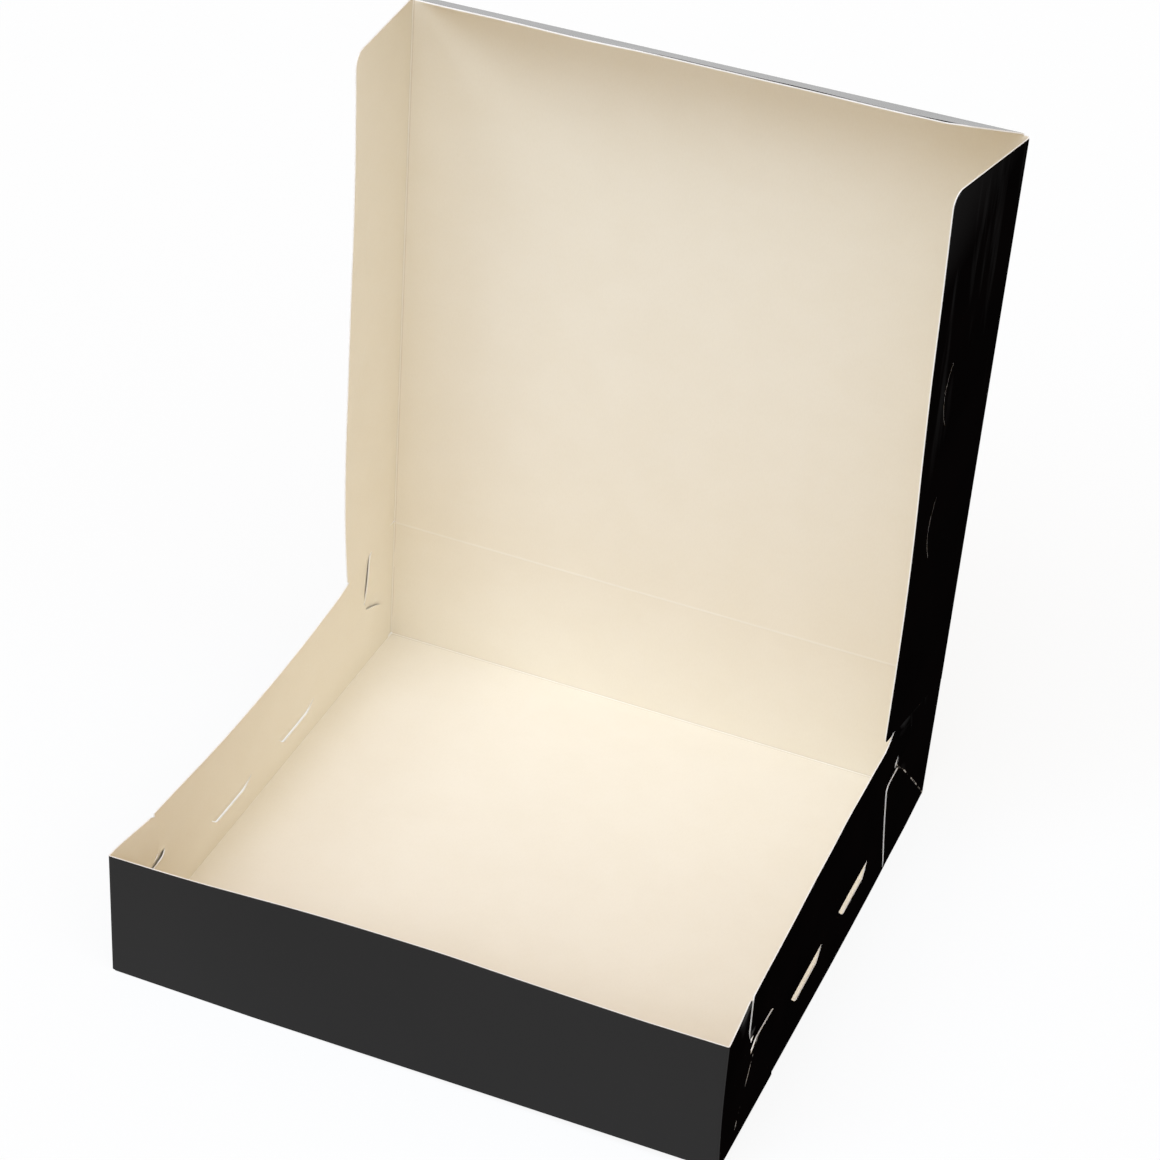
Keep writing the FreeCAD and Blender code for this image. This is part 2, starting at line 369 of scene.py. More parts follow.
def floor_runs():
    """Places along the trough's profile, from the front wall's rim to the rear wall's."""
    up_wall = WALL_FLAT + ARC + wall_heights() - BEND
    return mirrored(np.concatenate([panel_runs(), fold_runs(WALL_FLAT)[:-1], up_wall]))


def trough(front_wall=False):
    """Part of the trough: the front wall above its fold, or everything behind that."""
    x = mirrored(steps([0, FLOOR_FLAT - 0.5, FLOOR_FLAT], GRID))[None, :]
    run, fold = floor_runs(), -(WALL_FLAT + ARC)
    run = run[run <= fold + 0.01 if front_wall else run >= fold - 0.01][:, None]
    y, z = turned(run, WALL_FLAT)
    crease = np.abs(np.abs(run) - WALL_FLAT - ARC / 2)
    return patch(x, y, z, (0, 0, -1), x, run, crease)


def corner_wrap(side, end):
    """End of the front or rear wall and its fold round the corner, above the floor's fold."""
    run = np.concatenate([[FLOOR_FLAT], fold_runs(WALL_FLAT)[2:]])[None, :]
    z = wall_heights()[:, None]
    x, behind = turned(run, WALL_FLAT)
    crease = np.abs(run - WALL_FLAT - ARC / 2)
    return patch(side * x, end * (HALF - behind), z, (side, end, 0), side * run,
                 end * (HALF + z), crease)


def side_fold(side):
    """Fold from the floor up to a side wall."""
    run = fold_runs(FLOOR_FLAT)[2:, None]
    y = mirrored(np.concatenate([panel_runs(), fold_runs(WALL_FLAT)[:3]]))[None, :]
    x, z = turned(run, FLOOR_FLAT)
    crease = np.abs(run - FLOOR_FLAT - ARC / 2)
    return patch(side * x, y, z, (side, 0, -1), side * run, y, crease)


tray_patches = [trough(), side_fold(-1), side_fold(1)]
tray_patches += [corner_wrap(side, end) for side in (-1, 1) for end in (-1, 1)]
tray_base = sheet("tray_base", tray_patches, settle_tray)
front_wall = sheet("front_wall", [trough(front_wall=True)], settle_tray)
print("tray base:", len(tray_base.data.vertices), "points")

# %% [markdown]
# Side walls and ears. Each side wall is cut away at both ends: a rounded tongue stays near the
# floor, and the upper part begins about 30 mm behind the corner. The front and rear walls reach
# round the corners as ears. The lower part of an ear is glued outside the tongue, and its tip slips
# through the window and lies behind the wall, which locks the corner. Each wall also has two
# half-moon slots for the lid's locks.

# %% Side walls
EAR_FOOT = 0.8  # height of an ear's lower edge
TAB_END = 57.0  # corner to the end of an ear's lower tab
TIP_END = 31.0  # corner to the end of an ear's tip
WALL_END = 29.5  # corner to the side wall's upper part
INNER_Y = 62.0  # the wall's ends are ruled outside this place
TONGUE = (  # height, and corner to the tongue's end
    (0.0, 4.5), (7.5, 4.7), (13.6, 5.6), (18.4, 7.9), (22.0, 11.3), (24.6, 14.5), (27.6, 19.9),
    (29.6, 24.6), (31.3, 29.5),
)
NOTCHES = {  # the wall's edge above each tongue, likewise
    (-1, -1): ((32.4, 33.0), (33.0, 35.3), (34.7, 36.8), (36.2, 37.1), (37.0, 31.0),
               (46.0, WALL_END)),
    (1, -1): ((33.2, 33.4), (35.5, 36.5), (37.5, 31.0), (43.5, 29.0)),
    (-1, 1): ((34.0, 31.4), (36.5, 32.6), (38.5, 27.6), (41.0, 27.0), (59.9, 26.5)),
    (1, 1): ((36.0, 36.4), (41.5, 43.5), (43.5, 33.0), (51.0, WALL_END)),
}
TAB_TOPS = {  # height of a tab's top: at the notch, at its end
    (-1, -1): (37.0, 37.5), (1, -1): (35.5, 34.0), (-1, 1): (36.5, 38.0), (1, 1): (43.0, 40.0),
}
PINCHES = {  # where a tongue's top stands off: corner, height
    (-1, -1): (34.0, 33.5), (1, -1): (34.0, 34.0), (-1, 1): (22.0, 27.0), (1, 1): (40.0, 40.0),
}
PINCH_OFF, PINCH_LONG, PINCH_HIGH = 0.9, 9.0, 6.0  # how far it stands off, and over what size
SLOT_TOP, SLOT_DEPTH = 19.5, 5.0  # a slot's straight upper edge, and its depth
SLOT_LEVEL = 0.66  # share of a slot's half length that is level
SLOTS = {  # middle of each slot and its half length
    (-1, -1): (-30.9, 17.2), (-1, 1): (27.4, 16.4), (1, -1): (-27.7, 18.0), (1, 1): (29.2, 17.7),
}


def window_edge(height, side, end):
    """Distance from the corner to the side wall's board, at a height: the tongue's rounded end,
    the notch above it and the upright end of the wall's upper part."""
    tongue = smooth_curve(TONGUE, height)
    above = (TONGUE[-1],) + NOTCHES[side, end] + ((RIM, WALL_END),)
    return np.where(height <= TONGUE[-1][0], tongue, np.interp(height, *np.array(above).T))


def slot_place(side, y):
    """How far each place along a wall is from the middle of the nearer slot, whose end is at 1."""
    shares = [np.abs(y - SLOTS[side, end][0]) / SLOTS[side, end][1] for end in (-1, 1)]
    return np.minimum(*shares)


def slot_bottom(q):
    """Height of a slot's lower edge: level in the middle, and rising at both ends, in a short
    curve, to the straight upper edge. Beyond the ends it comes back down, for the grid."""
    rise = ramp(q, SLOT_LEVEL, 0.34) ** 1.4
    fade = np.clip(1 - (q - 1) * 2.5, 0, 1)
    return SLOT_TOP - SLOT_DEPTH * np.where(q <= 1, np.maximum(1 - rise, 0.01), 1 - 0.99 * fade)


def wall_rows(side):
    """Heights of the rows of a side wall: through every knot of its ends, with six in the band
    that holds the slots."""
    knots = {height for end in (-1, 1) for height, _ in NOTCHES[side, end]}
    below = steps([BEND, 1.2, 2.4, 7.5, 13.6], 3.0)
    above = steps(sorted({22.0, 24.6, 27.6, 29.6, 31.3, RIM - 1, RIM} | knots), 1.4)
    return np.concatenate([below[below < 13], [13.0, 14.5, 16.2, 17.9, 19.5, 21.0], above])[:, None]


def side_wall(side):
    """Side wall above the floor's fold. Its rows bend round the slots and its columns are ruled
    out to the tongues and notches at both ends."""
    level = wall_rows(side)
    stops = [SLOTS[side, end][0] + share * SLOTS[side, end][1]
             for end in (-1, 1) for share in (-1, -0.6, 0.6, 1)]
    middle = steps([-INNER_Y] + stops + [INNER_Y], 1.5)
    share = steps([0, 0.04, 1], 0.09)[None, 1:]
    front, rear = (end * (INNER_Y + (HALF - window_edge(level, side, end) - INNER_Y) * share)
                   for end in (-1, 1))
    y = np.concatenate([front[:, ::-1], middle + 0 * level, rear], axis=1)
    low, high = SLOT_TOP - SLOT_DEPTH, SLOT_TOP
    bottom = np.where(np.abs(y) < INNER_Y, slot_bottom(slot_place(side, y)), low)
    under = BEND + (level - BEND) * (bottom - BEND) / (low - BEND)
    beside = bottom + (level - low) * (high - bottom) / (high - low)
    z = np.where(level <= low, under, np.where(level < high, beside, level))
    centre = (y[:-1, :-1] + y[1:, 1:]) / 2
    in_band = ((level[:-1] + level[1:]) / 2 > low) & ((level[:-1] + level[1:]) / 2 < high)
    crease = np.abs(z - BEND + ARC / 2)
    return patch(side * (SIDE_FACE - pinch(side, y, z)), y, z, (side, 0, 0),
                 side * (FLOOR_FLAT + ARC + z - BEND), y, crease,
                 board=~(in_band & (slot_place(side, centre) < 1)))


def pinch(side, y, z):
    """How far the wall stands off the ear outside it: a soft bump at the top of each tongue."""
    s = HALF - np.abs(y)
    (front_s, front_z), (rear_s, rear_z) = PINCHES[side, -1], PINCHES[side, 1]
    near_s, near_z = np.where(y < 0, front_s, rear_s), np.where(y < 0, front_z, rear_z)
    return PINCH_OFF * np.exp(-((s - near_s) / PINCH_LONG) ** 2 - ((z - near_z) / PINCH_HIGH) ** 2)


# %% [markdown]
# An ear is the wrapped end of the front or rear wall. It is drawn as three patches, the tab below
# the notch, the tab beside it and the tip, because only the tip leaves the plane of the wall. Its
# slanting crease is no shape of its own: each point keeps its distance to that line, for the print.

# %% Ears
EAR_NOTCH, NOTCH_FOOT = 30.3, 32.0  # deepest point of the notch in an ear
TAB_ROUND, TIP_ROUND = 3.0, 4.0  # radius of a tab's and a tip's free corner
TIP_SPRING = {(-1, -1): 0.2, (1, -1): 0.2, (-1, 1): 0.5, (1, 1): 0.3}  # how far a tip springs off
EAR_TIPS = {  # height, and corner to the end of the ear's tip
    "others": ((NOTCH_FOOT, EAR_NOTCH), (36.0, 31.6), (41.0, 32.0), (RIM, TIP_END - 1.5)),
    (1, 1): ((NOTCH_FOOT, EAR_NOTCH), (36.0, 36.5), (41.0, 44.0), (45.0, 45.0), (51.0, 33.0),
             (RIM, TIP_END - 1.5)),
}
GUSSETS = {"others": (0, 38), (1, -1): (11, 35.5)}  # slanting crease: its start, and its rise
GUSSET_END = TIP_END + 7  # corner to the top of that crease


def near_columns():
    """Distances from the corner that all parts of an ear share, out to its notch."""
    return steps([BEND, BEND + 0.5, 3, EAR_NOTCH], 2.6)[None, :]


def lower_tab(side, end):
    """Lower part of an ear, glued outside the side wall, up to the foot of the ear's notch."""
    level = steps([EAR_FOOT, NOTCH_FOOT], 3.0)[:, None]
    s = np.concatenate([near_columns() + 0 * level, tab_columns(level, side, end)[:, 1:]], axis=1)
    return ear_patch(side, end, s, tab_height(s, level, side, end))


def tab_columns(level, side, end):
    """Distances from the corner across a tab, from the slanting side of the notch to its end,
    whose upper corner is rounded."""
    top = TAB_TOPS[side, end][0]
    shoulder = max(reach for _, reach in NOTCHES[side, end])
    start = EAR_NOTCH + (shoulder - EAR_NOTCH) * ramp(level, NOTCH_FOOT, top - NOTCH_FOOT)
    reach = rounded(level, top, TAB_END, TAB_ROUND)
    return start + (reach - start) * steps([0, 0.9, 1], 0.12)[None, :]


def tab_height(s, level, side, end):
    """Height of a point of a tab, whose top edge runs up or down towards the tab's end."""
    near_top, far_top = TAB_TOPS[side, end]
    along = ramp(s, EAR_NOTCH, TAB_END - EAR_NOTCH)
    return level + (far_top - near_top) * along * ramp(level, EAR_FOOT, near_top - EAR_FOOT)


def tab_top(side, end):
    """Upper part of a tab, beside the notch."""
    top = TAB_TOPS[side, end][0]
    level = np.concatenate([[NOTCH_FOOT], top - TAB_ROUND * (1 - ROUNDING)])
    level = np.unique(np.maximum(level, NOTCH_FOOT))[:, None]
    s = tab_columns(level, side, end)
    return ear_patch(side, end, s, tab_height(s, level, side, end))


def upper_ear(side, end):
    """Upper part of an ear: outside the side wall at the corner, through the window and behind the
    wall, where its tip springs off a little."""
    level = np.concatenate([steps([NOTCH_FOOT, 36.0, 41.0, RIM - TIP_ROUND], 2.0)[:-1],
                            RIM - TIP_ROUND * (1 - ROUNDING)])[:, None]
    reach = np.interp(level, *np.array(EAR_TIPS.get((side, end), EAR_TIPS["others"])).T)
    end_at = rounded(level, RIM, reach, TIP_ROUND)
    s = BEND + (near_columns() - BEND) * (end_at - BEND) / (EAR_NOTCH - BEND)
    along = (s - BEND) / (TIP_END - BEND)
    through = ramp(level, NOTCH_FOOT, 6)
    sprung = TIP_SPRING[side, end] * ramp(level, 38, 6) * ramp(-level, -RIM - 1, 5)
    return ear_patch(side, end, s, level, 2 * BOARD * through * along + sprung * along**2)


def ear_patch(side, end, s, z, inward=0.0):
    """An ear's grid, from distances s from the corner and heights z, moved in from the wall's
    plane. The slanting crease runs from the corner's foot to the top of the tab."""
    foot, height = GUSSETS.get((side, end), GUSSETS["others"])
    slope = math.atan2(height, GUSSET_END - foot)
    gusset = (s - foot) * math.sin(slope) - z * math.cos(slope)
    crease = np.maximum(s - BEND + ARC / 2, 0)
    return patch(side * (HALF - inward), end * (HALF - s), z, (side, 0, 0),
                 side * (WALL_FLAT + ARC + s - BEND), end * (HALF + z), crease, gusset)


# %% [markdown]
# The die doesn't cut the slots out. It cuts their lower edge only, so the half-moon stays hinged on
# the straight upper edge: pushed far in at the right wall, and nearly shut at the left one.

# %% Half-moons that hang in the slots
MOON_SWING = {1: math.radians(75), -1: math.radians(-11)}  # inward, at the right and left wall
MOON_ENDS, MOON_EDGE = 0.3, 0.2  # play at a half-moon's ends and lower edge


def half_moon(side, end, swing):
    """Half-moon of board, hinged on its slot's straight upper edge and swung inward by an angle."""
    centre, half = SLOTS[side, end]
    q = np.sin(np.radians(np.linspace(-90, 90, 33)))[None, :]
    down = np.linspace(0, 1, 7)[:, None]
    y = centre + q * (half - MOON_ENDS)
    depth = down * np.maximum(SLOT_TOP - slot_bottom(np.abs(q)) - MOON_EDGE, 0.02)
    x = SIDE_FACE - np.sin(swing) * depth
    z = SLOT_TOP - np.cos(swing) * depth
    return patch(side * x, y, z, (side, 0, 0.1), side * (FLOOR_FLAT + ARC + z), y)


def wall_with_ears(name, side):
    """A side wall, the ears that lock it and the half-moons in its slots, as one sheet."""
    ears = [make(side, end) for end in (-1, 1) for make in (lower_tab, tab_top, upper_ear)]
    moons = [half_moon(side, end, MOON_SWING[side]) for end in (-1, 1)]
    return sheet(name, [side_wall(side)] + ears + moons, settle_tray)


left_wall = wall_with_ears("left_wall", -1)
right_wall = wall_with_ears("right_wall", 1)
print("side walls:", len(left_wall.data.vertices), len(right_wall.data.vertices), "points")

# %% [markdown]
# Lid: a panel with a flap folded forward at each side. It is as wide as the tray while it stands
# open. The flaps lean inward, the right one much more than the left. Half-moon cuts in the flaps
# free the four lock tongues.

# %% Lid
LID_FOOT, LID_TOP = HINGE_Z + 0.55, CREASE_Z - 0.65  # edges of the panel, at its two creases
FLAP_LOW = HINGE_Z + 0.45  # lower edge of a flap
FLAP_ROOT_HIGH = CREASE_Z - 1.0  # upper edge of a flap, beside the panel
FLAP_FREE_HIGH = CREASE_Z - 3.4  # and at its free edge
TOP_ROUND, FOOT_ROUND = 6.0, 2.0  # radius of a flap's free corners
LOCK_HALF, LOCK_BULGE = 15.0, 4.5  # half length and depth of a half-moon lock
LOCK_ROOT, LOCK_BEND = 37.1, 10.0  # depth of its ends, and of the grid's first bend
LOCK_CUT, LOCK_LIFT = 0.06, 0.04  # width of its cut, and how far its tongue lifts
LOCK_CENTRES = [HINGE_Z + HINGE_Y + place for place in (-30.0, 30.0)]  # their heights
FLAP_LEANS = {  # height, and how many degrees a flap leans in
    1: ((61, 7.8), (107, 7.7), (130, 7.9), (159, 8.6), (194, 10.0), (228, 11.2), (263, 12.0),
        (297, 13.0), (309, 13.3)),
    -1: ((61, 4.1), (72, 3.2), (84, 2.5), (102, 1.9), (125, 1.65), (148, 1.85), (193, 2.2),
         (239, 2.7), (284, 2.3), (309, 1.7)),
}
FOOT_DROP, TOP_DROP, TOP_RISE = 0.8, 1.15, 0.55  # lid's left foot, left top and right top
TOP_FORWARD = 1.12  # how far its top left corner has come forward


def lid_runs():
    """Places across the blank: the panel, its two folds and the flaps, with a column at each side
    of the lock cuts and close ones in the rounded corners."""
    plain_end = FLAP_DEPTH - BEND - TOP_ROUND
    flap = WALL_FLAT + ARC / 2 + np.concatenate([
        steps([ARC / 2 + 0.4, LOCK_BEND, LOCK_ROOT, LOCK_ROOT + LOCK_CUT, plain_end], 3.0),
        plain_end + (TOP_ROUND + 0.6) * ROUNDING[1:]])
    return mirrored(np.concatenate([panel_runs(), fold_runs(WALL_FLAT), flap]))


def lid_edges(depth, last):
    """Heights of the lid's lower and upper edge, at a depth in the flap. A flap begins a little
    inside the panel's edges, its upper edge slants, and quarter circles round its free corners."""
    on_flap = ramp(depth, 0, 1.0)
    low = LID_FOOT + (FLAP_LOW - LID_FOOT) * on_flap
    high = LID_TOP + (FLAP_ROOT_HIGH - LID_TOP) * on_flap
    high = high - (FLAP_ROOT_HIGH - FLAP_FREE_HIGH) * depth / FLAP_DEPTH
    return -rounded(depth, last, -low, FOOT_ROUND), rounded(depth, last, high, TOP_ROUND)


def lid_patch():
    """The lid. Columns near a lock are pulled out to its half-moon, 1 - t squared of the bulge for
    t from -1 to 1 along the lock, and the cells between the cut's two columns are left out."""
    run = lid_runs()[None, :]
    side = np.sign(run)
    depth = np.maximum(np.abs(run) - WALL_FLAT - ARC / 2, 0)
    last = np.max(depth)
    low, high = lid_edges(depth, last)
    z = low + (high - low) * lid_rows()
    shift = sum(np.clip(1 - ((z - centre) / LOCK_HALF) ** 2, 0, 1) for centre in LOCK_CENTRES)
    before = ramp(depth, LOCK_BEND, LOCK_ROOT - LOCK_BEND)
    beyond = (last - depth) / (last - LOCK_ROOT)
    reach = np.where(depth <= LOCK_ROOT + 0.5, before, beyond)
    moved_run = run + side * LOCK_BULGE * shift * np.clip(reach, 0, 1)
    lean = np.where(side > 0, smooth_curve(FLAP_LEANS[1], z), smooth_curve(FLAP_LEANS[-1], z))
    x, front = turned(np.abs(moved_run), WALL_FLAT, math.pi / 2 + np.radians(lean))
    past_root = np.abs(moved_run) - WALL_FLAT - ARC / 2 - LOCK_ROOT
    x = x + LOCK_LIFT * (depth <= LOCK_ROOT + 0.1) * shift * np.clip(past_root / LOCK_BULGE, 0, 1)
    crease = np.abs(np.abs(run) - WALL_FLAT - ARC / 2) + 0 * z
    middle = (depth[:, :-1] + depth[:, 1:]) / 2
    beside_cut = np.abs(middle - LOCK_ROOT - LOCK_CUT / 2) < 0.4 * LOCK_CUT
    in_cut = beside_cut & (shift[:-1, :-1] * shift[1:, 1:] > 0)
    return patch(side * x, HALF - front, z, (0, 1, 0), moved_run, 2 * HALF + z, crease,
                 board=~in_cut)


def lid_rows():
    """Shares of the height, from the foot to the top, with rows at the ends of every lock cut."""
    span = FLAP_ROOT_HIGH - FLAP_LOW
    ends = [centre + end * LOCK_HALF for centre in LOCK_CENTRES for end in (-1, 1)]
    return steps([0.0, *((z - FLAP_LOW) / span for z in ends), 1.0], 3.0 / span)[:, None]


def settle_lid(points):
    """Moves points of the true lid: the panel's foot follows the rear wall, the top left corner
    comes forward and down a little, and the top right corner is a little high."""
    x, y, z = points.T
    right = np.clip(x / (2 * HALF) + 0.5, 0, 1)
    up = np.clip((z - RIM) / (CREASE_Z - RIM), 0, 1.1)
    moved = points.copy()
    on_panel = ramp(y, HALF - 1.0, 0.8)
    moved[:, 2] += (1 - up) * (1 - right) * -FOOT_DROP * on_panel
    moved[:, 2] += up * ((1 - right) * -TOP_DROP + right * TOP_RISE)
    moved[:, 1] += up * (1 - right) * -TOP_FORWARD
    return inside_box(moved)


lid_sheet = sheet("lid_sheet", [lid_patch()], settle_lid)
print("lid:", len(lid_sheet.data.vertices), "points")

# %% [markdown]
# Tuck flap: the tongue along the lid's front edge, narrower towards its free edge. It stands folded
# well forward, almost level, and hides behind its own edge when seen from the front.

# %% Tuck flap and the two creases
APEX_Z = CREASE_Z + 0.16  # where the two outer faces would meet
TUCK_START = 0.9  # apex to where the flap takes over
TUCK_ROOT, TUCK_TAPER, TUCK_ROUND = 122.6, 10.5, 8.0  # half width at the root, taper, corners
HINGE_HALF, CREASE_HALF = 123.6, 122.7  # half widths of the two crease strips
TUCK_SWAY = 0.45  # how much higher its left end stands
TUCK_WAVES = ((0.25, 21, 0.6), (0.15, 9.3, 2.0))  # height, length and start of each of its waves


def tuck_line(run, x):
    """Place on the outer face of the lid's top and the tuck flap, at a distance run past the apex:
    straight up to the fold, an arc, and straight on at the flap's angle."""
    setback = BEND * math.tan(TUCK_FOLD / 2)
    turn = np.clip((run + setback) / BEND, 0, TUCK_FOLD)
    before = np.minimum(run + setback, 0)
    rest = np.maximum(run + setback - BEND * TUCK_FOLD, 0)
    y = HALF - BEND * (1 - np.cos(turn)) - rest * math.sin(TUCK_FOLD)
    z = APEX_Z - setback + before + BEND * np.sin(turn) + rest * math.cos(TUCK_FOLD)
    return np.broadcast_arrays(x, y, z)


def tuck_patch():
    """The tuck flap, in rows of half width root less taper, closer in the rounded corners. The
    board rises and falls in slow sine waves that grow towards its free edge."""
    plain_end = TUCK_DEPTH - TUCK_ROUND
    depth = np.concatenate([steps([TUCK_START, 2.0, plain_end], 4.0),
                            plain_end + TUCK_ROUND * ROUNDING[1:]])[:, None]
    half = rounded(depth, TUCK_DEPTH, TUCK_ROOT - TUCK_TAPER * depth / TUCK_DEPTH, TUCK_ROUND)
    x = half * np.sin(np.linspace(-math.pi / 2, math.pi / 2, 61))[None, :]
    wave = sum(high * np.sin(x / length + start) for high, length, start in TUCK_WAVES)
    x, y, z = tuck_line(depth - 0.1 + 0 * x, x)
    z = z + (wave + TUCK_SWAY * (0.5 - x / (2 * HALF))) * depth / TUCK_DEPTH
    return patch(x, y, z, (0, 0, 1), x, 2 * HALF + CREASE_Z + depth, np.abs(depth))


def crease_strip(low, high, line, half):
    """Narrow strip of board along a working crease, in eight rows of cells across the line."""
    run = np.linspace(low, high, 9)[:, None]
    x, y, z = line(run, mirrored(steps([0, half - 1, half], GRID))[None, :])
    return patch(x, y, z, (0, 1, 0.3), x, 2 * HALF + run, np.abs(run - (low + high) / 2))


def hinge_line(run, x):
    """Place on the upright face of the rear wall and lid, at the height run."""
    return np.broadcast_arrays(x, HALF, run)


tuck_sheet = sheet("tuck_sheet", [tuck_patch()], settle_lid)
hinge_strip = crease_strip(RIM, LID_FOOT, hinge_line, HINGE_HALF)
tuck_strip = crease_strip(LID_TOP - APEX_Z, TUCK_START - 0.1, tuck_line, CREASE_HALF)
hinge_crease = sheet("hinge_crease", [hinge_strip], settle_lid)
tuck_crease = sheet("tuck_crease", [tuck_strip], settle_lid)
print("tuck flap:", len(tuck_sheet.data.vertices), "points")

# %% [markdown]
# Finishes. The board has three: black print under a satin varnish, bare cream pulp, and the raw cut
# edge. What they share is built once as node groups: the fibres of the pulp, the streaks of the
# varnish, and the bead that a creasing rule leaves along a fold, with the mask of the shade that is
# painted in two thin lines beside it. All of them are worked out on the flat blank, as on the real
# sheet before it was folded, so they run on over every crease.

# %% Node helpers
def new_group(name, inputs, outputs):
    """Empty shader group of plain numbers: inputs (name, default) and names of outputs."""
    group = bpy.data.node_groups.new(name, "ShaderNodeTree")
    for label, value in inputs:
        socket = group.interface.new_socket(label, in_out="INPUT", socket_type="NodeSocketFloat")
        socket.default_value = value
    for label in outputs:
        group.interface.new_socket(label, in_out="OUTPUT", socket_type="NodeSocketFloat")
    return group, group.nodes.new("NodeGroupInput"), group.nodes.new("NodeGroupOutput")


def feed(tree, node, links):
    """Joins or sets a node's inputs, from (input, socket or plain value) pairs."""
    for label, value in links:
        if isinstance(value, bpy.types.NodeSocket):
            tree.links.new(value, node.inputs[label])
        else:
            node.inputs[label].default_value = value


def add(tree, kind, links=(), **settings):
    """Node with its settings and its inputs."""
    node = tree.nodes.new(kind)
    for label, value in settings.items():
        setattr(node, label, value)
    feed(tree, node, links)
    return node


def math_node(tree, operation, *values):
    """Result of one sum on sockets or plain values."""
    return add(tree, "ShaderNodeMath", list(enumerate(values)), operation=operation).outputs[0]


def remap(tree, value, low, high, to_low=0.0, to_high=1.0):
    """The stretch from low to high, eased over to the stretch from to_low to to_high."""
    return add(tree, "ShaderNodeMapRange", [("Value", value), ("From Min", low), ("From Max", high),
                                            ("To Min", to_low), ("To Max", to_high)],
               interpolation_type="SMOOTHSTEP").outputs["Result"]


def noise(tree, scale, detail, roughness, stretch=None):
    """Cloudy noise on the flat blank, plain or stretched. It runs on over every fold."""
    place = add(tree, "ShaderNodeUVMap", uv_map="blank").outputs["UV"]
    if stretch is not None:
        place = add(tree, "ShaderNodeMapping",
                    [("Vector", place), ("Scale", stretch)]).outputs["Vector"]
    links = [("Vector", place), ("Scale", scale), ("Detail", detail), ("Roughness", roughness)]
    return add(tree, "ShaderNodeTexNoise", links).outputs["Fac"]


def bump(tree, height, strength, distance, links=()):
    """Normal of a surface with a height pressed into it, at most the distance in metres deep."""
    return add(tree, "ShaderNodeBump", [("Height", height), ("Strength", strength),
                                        ("Distance", distance), *links]).outputs["Normal"]


def plain_rays(tree):
    """1 for rays that come from the camera, off a mirror or through glass, and 0 for the rest."""
    rays = add(tree, "ShaderNodeLightPath").outputs
    indirect = math_node(tree, "MAXIMUM", rays["Is Glossy Ray"], rays["Is Transmission Ray"])
    return math_node(tree, "MAXIMUM", rays["Is Camera Ray"], indirect)


# %% Shared effects
def make_pulp():
    """Fibres and cloudy density of pulp."""
    group, given, out = new_group("pulp", [("Fibre Scale", 900.0), ("Cloud Scale", 60.0)],
                                  ["Fibres", "Clouds"])
    fibres = noise(group, given.outputs["Fibre Scale"], 5.0, 0.62, (1.0, 0.35, 1.0))
    clouds = noise(group, given.outputs["Cloud Scale"], 3.0, 0.55)
    feed(group, out, [("Fibres", fibres), ("Clouds", clouds)])
    return group


def make_streaks():
    """Soft streaks in the varnish, six millimetres wide and many times as long, along the blank."""
    group, given, out = new_group("streaks", [("Scale", 150.0), ("Strength", 1.0)], ["Streaks"])
    drawn = noise(group, given.outputs["Scale"], 3.0, 0.6, (1.0, 0.07, 1.0))
    mask = remap(group, drawn, 0.48, 0.72)
    feed(group, out, [("Streaks", math_node(group, "MULTIPLY", mask, given.outputs["Strength"]))])
    return group


def make_bead_and_shade():
    """Height of a creased line's bead, and a mask for the shade painted in two thin lines beside
    it, by distance from its middle in millimetres.
    """
    group, given, out = new_group("crease_bead_and_shade", [("Half Width", 0.9)], ["Height", "Painted Shade"])
    away = add(group, "ShaderNodeAttribute", attribute_name="crease").outputs["Fac"]
    share = math_node(group, "DIVIDE", away, given.outputs["Half Width"])
    height = remap(group, share, 0.0, 1.0, 1.0, 0.0)
    # Painted shade: the mask is strongest one half width to each side of the middle, beside the
    # bead.
    off = math_node(group, "ABSOLUTE", math_node(group, "SUBTRACT", share, 1.0))
    painted_shade_lines = remap(group, off, 0.0, 0.45, 1.0, 0.0)
    feed(group, out, [("Height", height), ("Painted Shade", painted_shade_lines)])
    return group


pulp, streaks, bead = make_pulp(), make_streaks(), make_bead_and_shade()
print("shared effects:", [group.name for group in (pulp, streaks, bead)])


# %% Materials
def new_material(name):
    """Material, its node tree and its Principled shader."""
    material = bpy.data.materials.new(name)
    material.use_nodes = True
    tree = material.node_tree
    return material, tree, tree.nodes["Principled BSDF"]


def use_group(tree, group, **values):
    """Outputs of a shared effect in a material, with its inputs set."""
    links = [(label.replace("_", " "), value) for label, value in values.items()]
    return add(tree, "ShaderNodeGroup", links, node_tree=group).outputs


def mix_colour(tree, share, first, second):
    """The first colour, with a share of it replaced by the second."""
    return add(tree, "ShaderNodeMix", [(0, share), (6, first), (7, second)],
               data_type="RGBA").outputs[2]


def feed_board(tree, shader, fibres, colour, rough, specular, normal, links=()):
    """Feeds a board's shader. Its roughness runs with the fibres, between two values."""
    roughness = remap(tree, fibres, 0.3, 0.7, *rough)
    feed(tree, shader, [("Base Color", colour), ("Roughness", roughness),
                        ("Specular IOR Level", specular), ("Normal", normal), *links])


